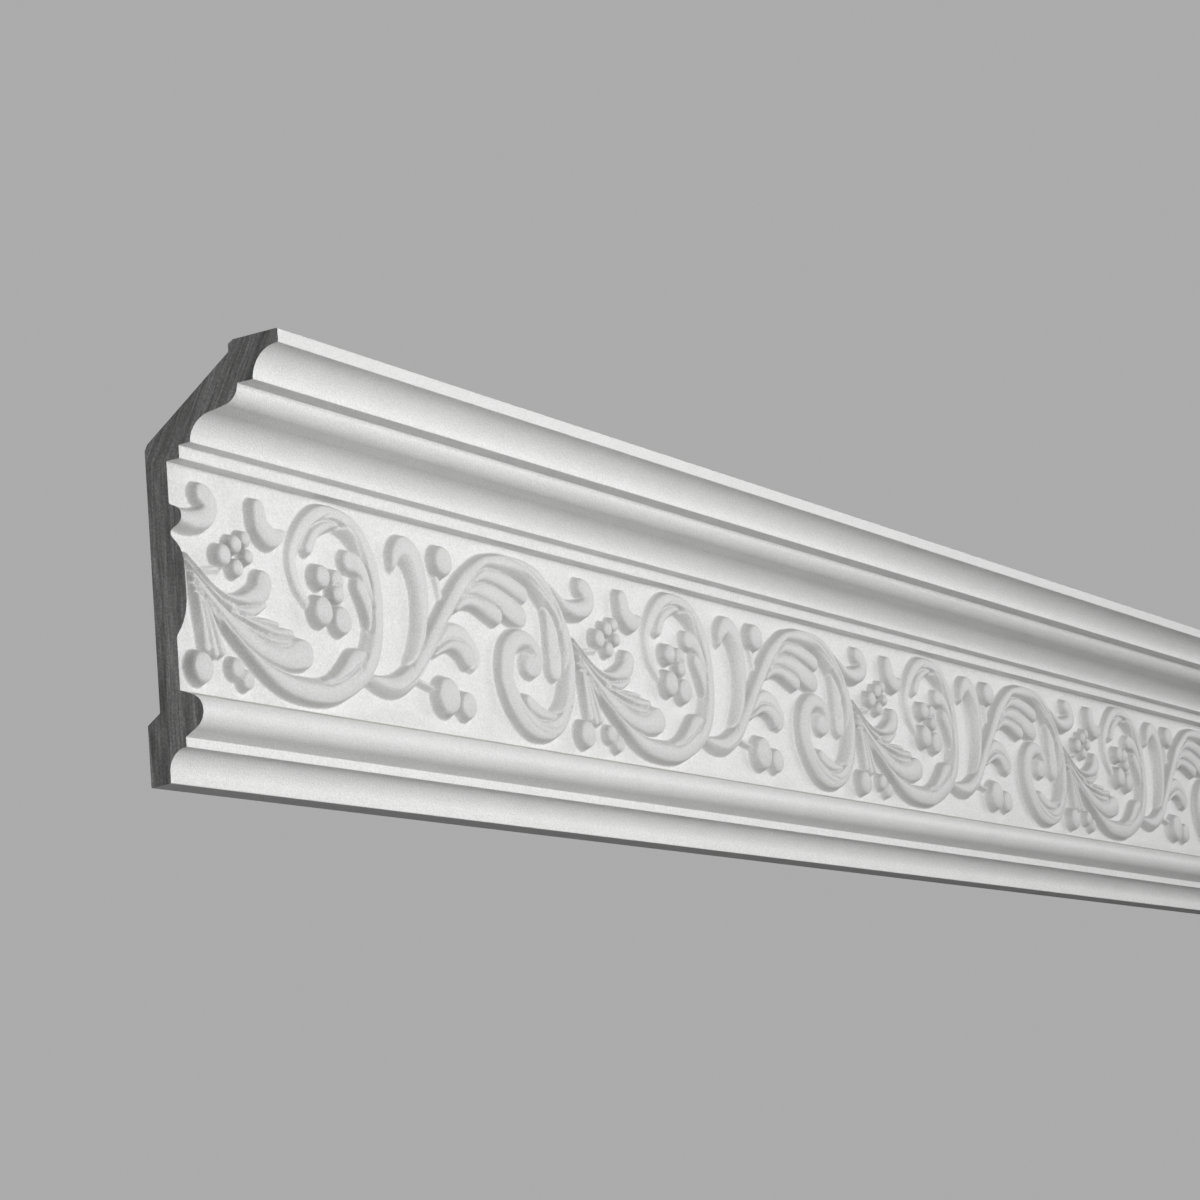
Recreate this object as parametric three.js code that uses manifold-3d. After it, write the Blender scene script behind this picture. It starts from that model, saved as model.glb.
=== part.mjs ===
// Crown moulding with an acanthus scroll in relief on its frieze, cast in one piece.
// Millimetres, +Z up. +X runs along the moulding, -Y is the room, +Y is the wall.
// The origin is the middle of the strip that bears on the wall, half way along the run.

import * as THREE from 'three';
import { mergeVertices } from 'three/addons/utils/BufferGeometryUtils.js';
import Module from 'manifold-3d';

const wasm = await Module();
wasm.setup();

// Driving dimensions of the run and of its section.
// "out" is the distance from the wall's face, "up" the height above the lowest edge.
const length = 960;               // cut square at both ends
const wallStripHeight = 20.2;     // flat strip that is glued to the wall
const backHollow = 5.2;           // how far the back lies off the wall above that strip
const stripBevelHeight = 3.4;     // bevel between the strip and the hollow back
const undersideRise = 0.5;        // draft of the underside, towards the room
const lipOut = 8;                 // front of the lowest lip
const lipHeight = 3.7;
const lowerCoveRadius = 7;
const filletHeight = 3.2;         // band between the lower cove and the torus
const torusHeight = 15.3;
const torusSwell = 8.8;           // how far the torus stands in front of the frieze
const torusLedge = 0.8;           // flat behind the torus, in front of the fillet
const torusArcShare = 0.41;       // of its height, the upright radius of its arc
const torusArcEnd = 62;           // degrees above and below its middle
const friezeOut = 13.8;           // ground of the relief
const friezeHeight = 75.5;
const lowerBandOut = 5.3;         // first band above the frieze, from the frieze's ground
const lowerBandHeight = 4.4;
const bandSoffit = 4.7;           // flat underside between that band and the ogee
const ogeeHollowRun = 10;
const ogeeHollowRise = 8.6;
const ogeeRun = 4;                // nearly level stretch between the ogee's two curves
const ogeeRunRise = 0.7;
const ogeeSwellRadius = 6.2;
const upperSoffit = 6.3;          // flat underside between the ogee and the upper cove
const upperCoveRadius = 10;
const fasciaOut = 0.8;            // top fascia in front of the upper cove
const fasciaHeight = 4.7;
const ceilingStripDepth = 17.7;   // flat strip that is glued to the ceiling
const ceilingStripBevel = 2.1;
const ceilingStripHeight = 3.7;
const slantRise = 0.685;          // rise of the slanted back for each millimetre out
const backCornerCut = 1.2;        // blunt corner where the slant meets the hollow back

// The carving is one drawing, repeated along the frieze and scaled to the frieze's height.
const drawnHeight = 75.5;
const drawnRepeat = 240;
const drawnDepth = 5.4;
const reliefDepth = 5.4;          // of the highest berry
const rootDepth = 0.6;            // how far a leaf's foot is sunk in the ground
const flankRun = 0.9;             // of a leaf's steep side
const longestFacet = 20;          // along a leaf
const straightEnough = 1.8;       // a station nearer to its neighbours' line is left out
const broadHalfWidth = 4;         // from which a leaf's tip has two stations
const slenderHalfWidth = 3.1;     // narrower leaves are a single ridge
const berrySides = 8;
const smallBerry = 5;              // below this radius a berry has fewer sides
const smallBerrySides = 6;
const berryShoulder = { share: 0.84, height: 0.8 };   // of its radius and of its rise
const innerSideLimit = 0.92;      // of a bend's radius, the most that a leaf takes up inside it
const flankLimit = 0.4;           // of a leaf's half width, the most that its side takes up

// A leaf's tip: how far ahead of its last point in half widths, and its width and rise there
// as shares of the ones at that point.
const slenderTip = [{ ahead: 0.85, width: 0.5, rise: 0.8 }];
const broadTips = [{ ahead: 0.62, width: 0.78, rise: 0.95 }, { ahead: 0.95, width: 0.34, rise: 0.7 }];

const endSpare = 12;              // made beyond each square cut and then cut off
const outOfReach = 10;            // a leaf this far past an end doesn't touch the piece

// Facets of the section's round stretches.
const coveFacets = 8;
const ogeeFacets = 7;
const torusFacets = 10;

// Points of an elliptic arc, angles in degrees from "out" towards "up".
function arc(out, up, radiusOut, radiusUp, from, to, facets) {
  const points = [];
  for (let i = 0; i <= facets; i += 1) {
    const angle = THREE.MathUtils.degToRad(from + (to - from) * i / facets);
    points.push([out + radiusOut * Math.cos(angle), up + radiusUp * Math.sin(angle)]);
  }
  return points;
}

// Heights and depths that follow from the driving dimensions, from the bottom upwards.
const lowerCoveUp = undersideRise + lipHeight;
const filletOut = lipOut + lowerCoveRadius;
const torusFoot = lowerCoveUp + lowerCoveRadius + filletHeight;
const friezeUp = torusFoot + torusHeight;
const friezeTop = friezeUp + friezeHeight;
const bandOut = friezeOut + lowerBandOut;
const bandTop = friezeTop + lowerBandHeight;
const ogeeFootOut = bandOut + bandSoffit;
const hollowCentreOut = ogeeFootOut + ogeeHollowRun;
const swellCentreOut = hollowCentreOut + ogeeRun;
const swellCentreUp = bandTop + ogeeHollowRise + ogeeRunRise + ogeeSwellRadius;
const coveFootOut = swellCentreOut + ogeeSwellRadius + upperSoffit;
const coveTopUp = swellCentreUp + upperCoveRadius;
const frontOut = coveFootOut + upperCoveRadius + fasciaOut;
const totalHeight = coveTopUp + fasciaHeight;
const ceilingStripOut = frontOut - ceilingStripDepth;
const slantTopOut = ceilingStripOut - ceilingStripBevel;
const slantTopUp = totalHeight - ceilingStripHeight;
const slantFootUp = slantTopUp - slantRise * (slantTopOut - backHollow);
const torusMidUp = torusFoot + torusHeight / 2;
const torusRadiusOut = friezeOut + torusSwell - filletOut - torusLedge;

// The section, anticlockwise as seen with "out" to the right and "up" upwards.
function sectionOutline() {
  return [
    [0, 0],
    [lipOut, undersideRise],
    ...arc(filletOut, lowerCoveUp, lowerCoveRadius, lowerCoveRadius, 180, 90, coveFacets),
    [filletOut, torusFoot],
    ...arc(friezeOut + torusSwell - torusRadiusOut, torusMidUp, torusRadiusOut,
      torusHeight * torusArcShare, -torusArcEnd, torusArcEnd, torusFacets),
    [friezeOut, friezeUp],
    [friezeOut, friezeTop],
    [bandOut, friezeTop],
    [bandOut, bandTop],
    ...arc(hollowCentreOut, bandTop, ogeeHollowRun, ogeeHollowRise, 180, 90, ogeeFacets),
    ...arc(swellCentreOut, swellCentreUp, ogeeSwellRadius, ogeeSwellRadius, -90, 0, ogeeFacets),
    ...arc(coveFootOut + upperCoveRadius, swellCentreUp, upperCoveRadius, upperCoveRadius,
      180, 90, coveFacets),
    [frontOut, coveTopUp],
    [frontOut, totalHeight],
    [ceilingStripOut, totalHeight],
    [slantTopOut, totalHeight - ceilingStripBevel / 2],
    [slantTopOut, slantTopUp],
    [backHollow + backCornerCut, slantFootUp + slantRise * backCornerCut],
    [backHollow, slantFootUp - backCornerCut],
    [backHollow, wallStripHeight + stripBevelHeight],
    [0, wallStripHeight],
  ];
}

// A closed mesh without doubled corners, as a solid that can be joined and cut.
function solidOf(geometry) {
  const bare = new THREE.BufferGeometry();
  bare.setAttribute('position', geometry.getAttribute('position').clone());
  if (geometry.index) bare.setIndex(geometry.index.clone());
  const merged = mergeVertices(bare, 1e-4);
  return new wasm.Manifold(new wasm.Mesh({
    numProp: 3,
    vertProperties: new Float32Array(merged.getAttribute('position').array),
    triVerts: new Uint32Array(merged.index.array),
  }));
}

// A prism of one section along the whole run.
function runOf(outline, from, to) {
  const shape = new THREE.Shape(outline.map(([out, up]) => new THREE.Vector2(out, up)));
  const geometry = new THREE.ExtrudeGeometry(shape, { depth: to - from, bevelEnabled: false });
  const axes = new THREE.Matrix4().makeBasis(
    new THREE.Vector3(0, -1, 0), new THREE.Vector3(0, 0, 1), new THREE.Vector3(-1, 0, 0));
  axes.setPosition(to, 0, -wallStripHeight / 2);
  geometry.applyMatrix4(axes);
  return solidOf(geometry);
}

// The strokes of the drawing. Each point is [along, up, half width, rise], and a stroke is a
// leaf, a stem or a band of the scroll, drawn from its root to its tip.
const strokes = {
  budLeaf: [[-30, 69.8, 1.2, 1.5], [-22, 68.2, 1.8, 2.5], [-11, 63.6, 2.6, 3.5], [-2, 57.9, 3.8, 4.4],
    [3, 56.4, 4.3, 5], [9, 56.6, 4.4, 5], [14.6, 58.3, 4.5, 5], [16.8, 62.2, 4.4, 5],
    [14.6, 65.6, 4.4, 4.6]],
  comma: [[61, 60.3, 1.2, 2], [56, 58, 3, 3.5], [50, 57, 4.7, 4.5], [45.2, 60, 4.8, 4.6],
    [43.9, 65.4, 4.3, 4.6]],
  flowerStem: [[15.5, 41.5, 1.2, 1.5], [23, 42.6, 1.4, 1.8]],
  topLeaf: [[3, 45, 1, 4], [14, 37.6, 1.3, 4], [28, 33.2, 2, 4.3], [36, 34.3, 3.3, 4.5],
    [42.3, 36.6, 4.7, 4.6], [44.6, 40.6, 4.9, 4.6]],
  topLeafBorder: [[4, 42.6, 0.9, 3.8], [14, 35.4, 1.4, 3.8], [24, 30.8, 1.8, 3.8],
    [34, 29.2, 2.5, 3.9], [43.4, 33.6, 3, 3.9]],
  upperTongue: [[26, 30.4, 1, 3.6], [38, 27.2, 1.7, 3.9], [50.2, 26.6, 2.2, 4.1]],
  lowerTongue: [[26, 28.6, 1, 3.6], [42, 25.2, 1.9, 3.9], [58.2, 24.4, 2.7, 4]],
  lowerTongueBorder: [[28, 26.2, 1.2, 3.6], [44, 21.8, 1.9, 3.8], [57.4, 22.2, 2.4, 3.8]],
  middleLeaf: [[6, 37.8, 2, 4.3], [20, 27.3, 3.4, 4.3], [36, 19.6, 3.8, 4.3], [54, 16.2, 4.8, 4.3],
    [65.6, 18.7, 5.9, 4.3]],
  leftScroll: [[6, 34.4, 1.6, 4.3], [22, 24, 1.4, 4.4], [35, 15.2, 2.1, 4.7], [50, 8.7, 4.2, 4.8],
    [60, 6.8, 4.8, 4.8], [70, 6.4, 5, 4.8], [80, 7.3, 5.1, 4.8], [90, 11, 5.3, 4.8],
    [100, 16.8, 5.3, 4.7], [106.8, 25, 4.8, 4.6], [109.6, 36, 4.8, 4.6], [109.6, 47, 5, 4.6],
    [106.2, 58, 5, 4.7], [99, 66, 4.8, 4.8], [89, 69.4, 4.3, 4.6], [79, 68.5, 4.3, 4.2],
    [70, 62.5, 3.8, 3.4], [64.3, 53, 3.4, 2.4], [65.5, 44, 3, 2.3], [71, 37.8, 2.6, 2]],
  innerLobe: [[80, 9.4, 3, 4.5], [90.9, 16.2, 4, 4.7], [98.4, 20.9, 4.4, 4.7]],
  leftHook: [[99, 67.4, 3, 4.7], [88, 68, 3.1, 4.3], [77.2, 63, 3.2, 3.8], [72.3, 56.2, 3, 3.5]],
  fanLeft: [[6, 38, 1.2, 3.9], [9.8, 26, 1.7, 3.7], [12, 14.8, 2.2, 3.3]],
  fanMiddle: [[7, 37, 1.2, 3.9], [12.2, 25, 1.7, 3.7], [16, 13.4, 2.2, 3.3]],
  fanRight: [[8, 36, 1.2, 3.9], [15, 25, 1.7, 3.7], [20.3, 14.2, 2.2, 3.3]],
  upperVeinLeaf: [[110, 42, 2.8, 4.4], [108, 50, 3.8, 4.5], [102.4, 55.2, 4.6, 4.4],
    [95.8, 55, 4.5, 4]],
  lowerVeinLeaf: [[109.5, 34, 2.8, 4.4], [107.6, 42.5, 3.8, 4.4], [102.7, 47.4, 4.7, 4.1]],
  crook: [[124, 57.4, 2.4, 3.2], [126, 62, 4.2, 4.2], [131, 64.4, 5.4, 4.6], [136.6, 60.5, 5.7, 4.6],
    [139.6, 52, 4.8, 4.4], [139.6, 43, 4.2, 4.2], [137, 32.5, 3.6, 4], [131, 21, 3.4, 4]],
  rightScroll: [[104, 14.4, 2.4, 4], [117, 13, 4, 4.7], [126, 15.5, 4.6, 4.8], [134, 21, 4.5, 4.8],
    [150.6, 39, 4.1, 4.7], [166.5, 55.3, 4.4, 4.7], [182, 66, 3.2, 4.7], [198, 67.9, 4.2, 4.8],
    [212, 67, 4.4, 5], [222, 62.5, 5.4, 5], [231, 54, 5.6, 5], [236.6, 45, 5.2, 5],
    [238.6, 34, 5, 5], [237, 24, 4.8, 5], [233, 15.6, 5, 4.8], [226, 9.6, 5.3, 4.7],
    [217, 7.3, 5.4, 4.6], [207, 8.9, 5.7, 4.6], [198.4, 15.4, 5.6, 4.5], [194, 25, 5.4, 4.4],
    [196, 34, 5.3, 4.5], [203, 39.4, 4.9, 4.6], [210.6, 39, 4.6, 4.7], [215.4, 35, 4.8, 4.5],
    [213, 31.4, 5.7, 4]],
  upperBerryStem: [[155.6, 47.6, 1.8, 1.6], [152.8, 57, 2, 2]],
  lowerBerryStem: [[133, 17.6, 1.6, 2.5], [147, 15, 1.6, 2.5]],
  outerPad: [[148, 32, 1.6, 2.5], [157, 36.2, 4, 3], [165.6, 35.9, 5.4, 3.3], [171.4, 30.2, 6.3, 3.3]],
  innerPad: [[147, 28, 1.6, 3], [156, 32.3, 2.6, 4], [163.6, 31.6, 3.9, 4.2], [168, 28.8, 4.6, 4.2]],
  lowTongue: [[162, 47.5, 3, 4.2], [175, 50.2, 3, 4.4], [189.4, 47.1, 4.2, 4.4]],
  midTongue: [[166, 52.5, 2.6, 4.2], [182, 55.3, 4, 4.4], [205.4, 49, 5.4, 4.5]],
  highTongue: [[168, 55, 2.4, 4.3], [182, 61.6, 3.2, 4.5], [208.3, 57.6, 4.3, 4.6]],
  hangingLeaf: [[222, 64, 3, 4.6], [229.4, 50, 5.1, 3.8], [229.4, 31.2, 5, 3.5]],
  rightHook: [[236, 16, 2, 4.8], [226, 11.8, 3, 4.6], [216, 12.4, 3, 4.4], [208, 16.4, 3, 3.8]],
};

// Berries and petals: [along, up, radius, rise].
const berries = [
  [22.8, 47, 4.4, 5], [29.4, 51.4, 3.8, 5], [35.3, 54, 3.4, 4.6], [36.6, 48.2, 3.2, 4.6],
  [30.2, 43.6, 3.7, 4.6],
  [7.9, 7.9, 6.2, 5.4], [27.3, 9.7, 4.2, 4.3], [32.6, 6.4, 4.1, 4.3],
  [77.7, 47, 4.9, 5.4], [87.6, 47, 4.4, 4.2], [86.7, 41.9, 4.1, 5], [77.2, 34.9, 6.1, 5.4],
  [88.7, 33, 5.9, 5],
  [154.5, 62.9, 6.5, 5.4], [152.3, 12.9, 8, 5.4], [165.1, 10.8, 5.9, 4.8],
];

// Points along a stroke: the drawn ones and, on long stretches, some between them on the curve.
function centreLine(points) {
  const line = [];
  for (let i = 0; i < points.length - 1; i += 1) {
    const before = points[Math.max(i - 1, 0)];
    const [here, next] = [points[i], points[i + 1]];
    const after = points[Math.min(i + 2, points.length - 1)];
    const steps = Math.ceil(Math.hypot(next[0] - here[0], next[1] - here[1]) / longestFacet);
    for (let s = 0; s < steps; s += 1) {
      const t = s / steps;
      line.push(here.map((value, k) => 0.5 * (2 * value + (next[k] - before[k]) * t
        + (2 * before[k] - 5 * value + 4 * next[k] - after[k]) * t ** 2
        + (3 * value - before[k] - 3 * next[k] + after[k]) * t ** 3)));
    }
  }
  line.push(points[points.length - 1]);
  return thinned(line);
}

// Leaves out the stations that lie on the straight between their neighbours.
function thinned(line) {
  const kept = [line[0]];
  for (let i = 1; i < line.length - 1; i += 1) {
    const [before, here, after] = [kept[kept.length - 1], line[i], line[i + 1]];
    const share = Math.hypot(here[0] - before[0], here[1] - before[1])
      / Math.hypot(after[0] - before[0], after[1] - before[1]);
    const off = here.map((value, k) => value - before[k] - share * (after[k] - before[k]));
    if (Math.hypot(off[0], off[1]) + Math.abs(off[2]) > straightEnough) kept.push(here);
  }
  return [...kept, line[line.length - 1]];
}

// The same line with a blunt tip: a narrower station beyond the last one, and a second one on
// broad leaves.
function withRoundTip(line, slender) {
  const [last, previous] = [line[line.length - 1], line[line.length - 2]];
  const reach = Math.hypot(last[0] - previous[0], last[1] - previous[1]);
  const heading = [(last[0] - previous[0]) / reach, (last[1] - previous[1]) / reach];
  const stations = slender || last[2] < broadHalfWidth ? slenderTip : broadTips;
  return [...line, ...stations.map(({ ahead, width, rise }) => [
    last[0] + heading[0] * last[2] * ahead, last[1] + heading[1] * last[2] * ahead,
    last[2] * width, last[3] * rise])];
}

// A stroke as a closed band: sunk feet, steep flanks and a flat back between two shoulders, or
// a single ridge where it is slender. On the inner side of a tight bend the band is narrowed,
// so that it never folds over itself.
function strokeSolid(points, shift) {
  const slender = Math.max(...points.map(([, , half]) => half)) < slenderHalfWidth;
  const line = withRoundTip(centreLine(points), slender);
  const section = slender ? [[1, 0], [0, 1], [-1, 0]] : [[1, 0], [1, 1], [-1, 1], [-1, 0]];
  const corners = [];
  line.forEach(([along, up, half, rise], i) => {
    const before = line[Math.max(i - 1, 0)];
    const after = line[Math.min(i + 1, line.length - 1)];
    const chord = Math.hypot(after[0] - before[0], after[1] - before[1]);
    const left = [-(after[1] - before[1]) / chord, (after[0] - before[0]) / chord];
    const into = [along - before[0], up - before[1]];
    const out = [after[0] - along, after[1] - up];
    const turn = Math.atan2(into[0] * out[1] - into[1] * out[0],
      into[0] * out[0] + into[1] * out[1]);
    const bendRadius = chord / (2 * Math.abs(Math.sin(turn / 2)) + 1e-6) / 2;
    for (const [side, height] of section) {
      const inner = Math.sign(turn) === side;
      const reach = inner ? Math.min(half, bendRadius * innerSideLimit) : half;
      const flank = Math.min(flankRun, reach * flankLimit) * height;
      const offset = side * (reach - flank);
      corners.push(toFrieze(along + shift + left[0] * offset, up + left[1] * offset,
        height ? rise : -rootDepth));
    }
  });
  const faces = [];
  const ring = section.length;
  for (let i = 0; i < line.length - 1; i += 1) {
    for (let k = 0; k < ring; k += 1) {
      const [a, b] = [i * ring + k, i * ring + (k + 1) % ring];
      faces.push(a, b, b + ring, a, b + ring, a + ring);
    }
  }
  const end = (line.length - 1) * ring;
  for (let k = 1; k < ring - 1; k += 1) faces.push(0, k + 1, k, end, end + k, end + k + 1);
  return closedMesh(corners, faces);
}

// A berry: a steep-sided button with a low point on top.
function berrySolid([along, up, radius, rise], shift) {
  const sides = radius < smallBerry ? smallBerrySides : berrySides;
  const corners = [];
  const rings = [[1, -rootDepth], [berryShoulder.share, rise * berryShoulder.height]];
  for (const [share, height] of rings) {
    for (let i = 0; i < sides; i += 1) {
      const angle = 2 * Math.PI * (i + 0.5) / sides;
      corners.push(toFrieze(along + shift + radius * share * Math.cos(angle),
        up + radius * share * Math.sin(angle), height));
    }
  }
  corners.push(toFrieze(along + shift, up, -rootDepth), toFrieze(along + shift, up, rise));
  const faces = [];
  for (let i = 0; i < sides; i += 1) {
    const next = (i + 1) % sides;
    faces.push(i, sides + next, sides + i, i, next, sides + next);
    faces.push(2 * sides, next, i);
    faces.push(2 * sides + 1, sides + i, sides + next);
  }
  return closedMesh(corners, faces);
}

const drawingScale = friezeHeight / drawnHeight;
const repeatLength = drawnRepeat * drawingScale;

// A point of the drawing, with its rise above the ground, in the moulding's own frame.
function toFrieze(along, up, rise) {
  return new THREE.Vector3(
    along * drawingScale - length / 2,
    -friezeOut - rise * reliefDepth / drawnDepth,
    up * drawingScale + friezeUp - wallStripHeight / 2);
}

function closedMesh(corners, faces) {
  const geometry = new THREE.BufferGeometry().setFromPoints(corners);
  geometry.setIndex(faces);
  return solidOf(geometry);
}

// One repeat after another from before the left end to past the right one.
function reliefSolids() {
  const solids = [];
  const repeats = Math.ceil(length / repeatLength);
  for (let repeat = -1; repeat <= repeats; repeat += 1) {
    const shift = repeat * drawnRepeat;
    for (const points of Object.values(strokes)) {
      const reach = points.map(([along]) => (along + shift) * drawingScale);
      if (Math.max(...reach) < -outOfReach || Math.min(...reach) > length + outOfReach) continue;
      solids.push(strokeSolid(points, shift));
    }
    for (const berry of berries) {
      const along = (berry[0] + shift) * drawingScale;
      const near = along > -outOfReach && along < length + outOfReach;
      if (near) solids.push(berrySolid(berry, shift));
    }
  }
  return solids;
}

// The body without its ends, joined with the relief, then cut square to the run's length.
function mouldingGeometry() {
  let moulding = runOf(sectionOutline(), -length / 2 - endSpare, length / 2 + endSpare);
  for (const solid of reliefSolids()) moulding = moulding.add(solid);
  const reach = frontOut + totalHeight;
  const cutBox = new THREE.BoxGeometry(length, 2 * reach, 2 * reach);
  const cut = moulding.intersect(solidOf(cutBox)).getMesh();
  const geometry = new THREE.BufferGeometry();
  geometry.setAttribute('position', new THREE.BufferAttribute(cut.vertProperties, cut.numProp));
  geometry.setIndex(new THREE.BufferAttribute(cut.triVerts, 1));
  geometry.computeVertexNormals();
  return geometry;
}

const castWhite = new THREE.MeshStandardMaterial({ color: 0xecebe8, roughness: 0.72, metalness: 0 });
const moulding = new THREE.Group();
const crown = new THREE.Mesh(mouldingGeometry(), castWhite);
crown.name = 'crown_moulding';
moulding.add(crown);

export default moulding;
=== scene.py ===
"""Crown moulding with an acanthus scroll in relief on its frieze: its cast surface and its look.

The section and the drawing of the scroll are the ones of the CAD model, in millimetres.
"out" is the distance from the wall's face, "up" the height above the lowest edge and "along"
the distance from the left end. The scene itself is in metres, +Z up.
"""
import math

import bpy
import numpy as np
from mathutils import Matrix, Vector


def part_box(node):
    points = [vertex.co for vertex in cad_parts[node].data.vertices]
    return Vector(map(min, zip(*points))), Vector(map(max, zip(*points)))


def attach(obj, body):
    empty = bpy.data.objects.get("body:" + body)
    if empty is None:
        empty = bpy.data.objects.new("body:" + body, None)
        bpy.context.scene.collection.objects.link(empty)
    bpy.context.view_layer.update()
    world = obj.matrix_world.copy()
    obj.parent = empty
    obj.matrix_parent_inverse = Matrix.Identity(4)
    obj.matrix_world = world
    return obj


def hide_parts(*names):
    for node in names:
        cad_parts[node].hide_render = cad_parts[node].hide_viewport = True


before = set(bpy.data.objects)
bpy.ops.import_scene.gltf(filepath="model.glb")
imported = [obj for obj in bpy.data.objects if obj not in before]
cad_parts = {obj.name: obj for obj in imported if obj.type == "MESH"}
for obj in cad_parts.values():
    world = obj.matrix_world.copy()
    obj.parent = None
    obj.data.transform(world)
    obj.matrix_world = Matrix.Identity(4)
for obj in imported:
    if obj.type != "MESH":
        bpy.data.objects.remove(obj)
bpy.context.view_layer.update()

MM = 0.001
NODE = "crown_moulding"
CUT_END, GLUED_SIDE = 1, 2    # material slots, after the cast face's slot 0
node_low, node_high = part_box(NODE)
LENGTH = (node_high.x - node_low.x) / MM

# The section, as it is driven in the CAD model.
WALL_STRIP_HEIGHT = 20.2
BACK_HOLLOW = 5.2
STRIP_BEVEL_HEIGHT = 3.4
UNDERSIDE_RISE = 0.5
LIP_OUT = 8
LIP_HEIGHT = 3.7
LOWER_COVE_RADIUS = 7
FILLET_HEIGHT = 3.2
TORUS_HEIGHT = 15.3
TORUS_SWELL = 8.8
FRIEZE_OUT = 13.8
FRIEZE_HEIGHT = 75.5
LOWER_BAND_OUT = 5.3
LOWER_BAND_HEIGHT = 4.4
BAND_SOFFIT = 4.7
OGEE_HOLLOW_RUN = 10
OGEE_HOLLOW_RISE = 8.6
OGEE_RUN = 4
OGEE_RUN_RISE = 0.7
OGEE_SWELL_RADIUS = 6.2
UPPER_SOFFIT = 6.3
UPPER_COVE_RADIUS = 10
FASCIA_OUT = 0.8
FASCIA_HEIGHT = 4.7
CEILING_STRIP_DEPTH = 17.7
CEILING_STRIP_BEVEL = 2.1
CEILING_STRIP_HEIGHT = 3.7
SLANT_RISE = 0.685
BACK_CORNER_CUT = 1.2

TORUS_SIDE = 0.8          # the torus swells from this far in front of the fillet
TORUS_ARC_SHARE = 0.41    # of its height, the upright radius of its arc
TORUS_ARC_END = 62        # degrees above and below its middle

# How finely the section is made, and the small rounds that a cast arris has.
FACETS = 20
ARRIS_ROUND = 0.35
ARRIS_FACETS = 4
ARRIS_SUPPORT = 0.5
ARRIS_ROOM = 0.4          # of the shorter face beside it, what a round may take
BLUNT_CORNER = 150        # degrees between its sides, above which a corner stays as drawn

# The carving's grid and its size once the flats are thinned out.
CELL = 0.4
DRAWN_REPEAT = 240.0
TRIANGLES = 182000
STATION = 0.5             # between the points of a stroke's middle line
CARVING_RISE = 4.0        # a leaf's back stands about so far above the ground

# Which edges show as edges, and which faces are glued to the wall or the ceiling.
SHARP_EDGE = 40           # degrees that the faces turn by
WALL_FACING = 0.2         # how far a glued face's normal points into the wall
CEILING_FACING = 0.9      # or up, at the very top

# Places along the section that follow from its sizes.
FILLET_OUT = LIP_OUT + LOWER_COVE_RADIUS
LOWER_COVE_UP = UNDERSIDE_RISE + LIP_HEIGHT
TORUS_FOOT = LOWER_COVE_UP + LOWER_COVE_RADIUS + FILLET_HEIGHT
FRIEZE_UP = TORUS_FOOT + TORUS_HEIGHT
FRIEZE_TOP = FRIEZE_UP + FRIEZE_HEIGHT
BAND_OUT = FRIEZE_OUT + LOWER_BAND_OUT
BAND_TOP = FRIEZE_TOP + LOWER_BAND_HEIGHT
SWELL_UP = BAND_TOP + OGEE_HOLLOW_RISE + OGEE_RUN_RISE + OGEE_SWELL_RADIUS
BACK_HEIGHT = SWELL_UP + UPPER_COVE_RADIUS + FASCIA_HEIGHT

# The finishes. A pair is a texture's range, from its low places to its high ones, and it
# multiplies the colour unless it is a roughness. Depths are in millimetres.
NOISE_RANGE = (0.3, 0.7)      # most values of a noise lie between these
WHITE = (0.82, 0.82, 0.815)
WHITE_MOTTLE = (0.95, 1.03)
WHITE_SPECKLE = (0.86, 1.1)
WHITE_ROUGHNESS = (0.55, 0.42)
WHITE_DEPTH = 0.16
BACK_PAINTED_SHADE = 0.14              # painted shade: how much darker a leaf's back is painted than the ground
SIDE_PAINTED_SHADE = 0.22              # painted shade on its steep sides, darker the steeper they are
RAW_WHITE = (0.66, 0.65, 0.62)
RAW_FINENESS = 0.45
RAW_MOTTLE = (0.82, 1.08)
RAW_PITS = (0.85, 1.08)
RAW_ROUGHNESS = 0.9
RAW_DEPTH = 0.35
FOAM = (0.55, 0.55, 0.545)
FOAM_FINENESS = 0.9
FOAM_STREAKS = (0.55, 1.5)
FOAM_THREADS = (0.7, 1.35)
FOAM_SPECKLE = (0.7, 1.3)
FOAM_ROUGHNESS = 0.85
FOAM_DEPTH = 0.14

# The noises: waves a metre, detail and roughness.
GRAINS = (1700, 2.5, 0.65)
PATCHES = (60, 3, 0.5)
STREAKS = (260, 3, 0.5)
THREADS = (1300, 2, 0.6)
STREAKS_BEND = FRIEZE_TOP     # above this height the streaks lean out with the slant
STREAKS_LEAN = 0.55
STREAKS_STRETCH = 0.06        # how fast the noise changes along a streak, against across it

# The studio, in metres and watts. Each lamp has a place, an aim, a size and a power.
LAMPS = {
    "wide front": ((-0.387, -1.473, 0.1), (0, -0.03, 0.06), 0.7, 14),
    "near left": ((-0.45, -0.55, 0.06), (-0.42, -0.03, 0.06), 0.35, 0.7),
    "far right": ((1.25, -0.8, 0.35), (0, -0.03, 0.06), 0.7, 5),
    "behind": ((0.4, 1.6, 1.0), (0, 0.3, -0.1), 1.0, 20),
    "low side": ((-1.5, -0.15, -0.3), (-0.48, -0.03, 0.03), 0.4, 1.4),
}
BACKDROP = 0.41       # the grey seen behind the piece
AMBIENT = 0.012       # the even light from all round
FLOOR_GREY = 0.6
FLOOR_ROUGHNESS = 0.8
FLOOR_GLOW = 0.3      # makes the floor look lit all over
FLOOR_REACH = 6
FLOOR_DEPTH = 1.6

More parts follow.
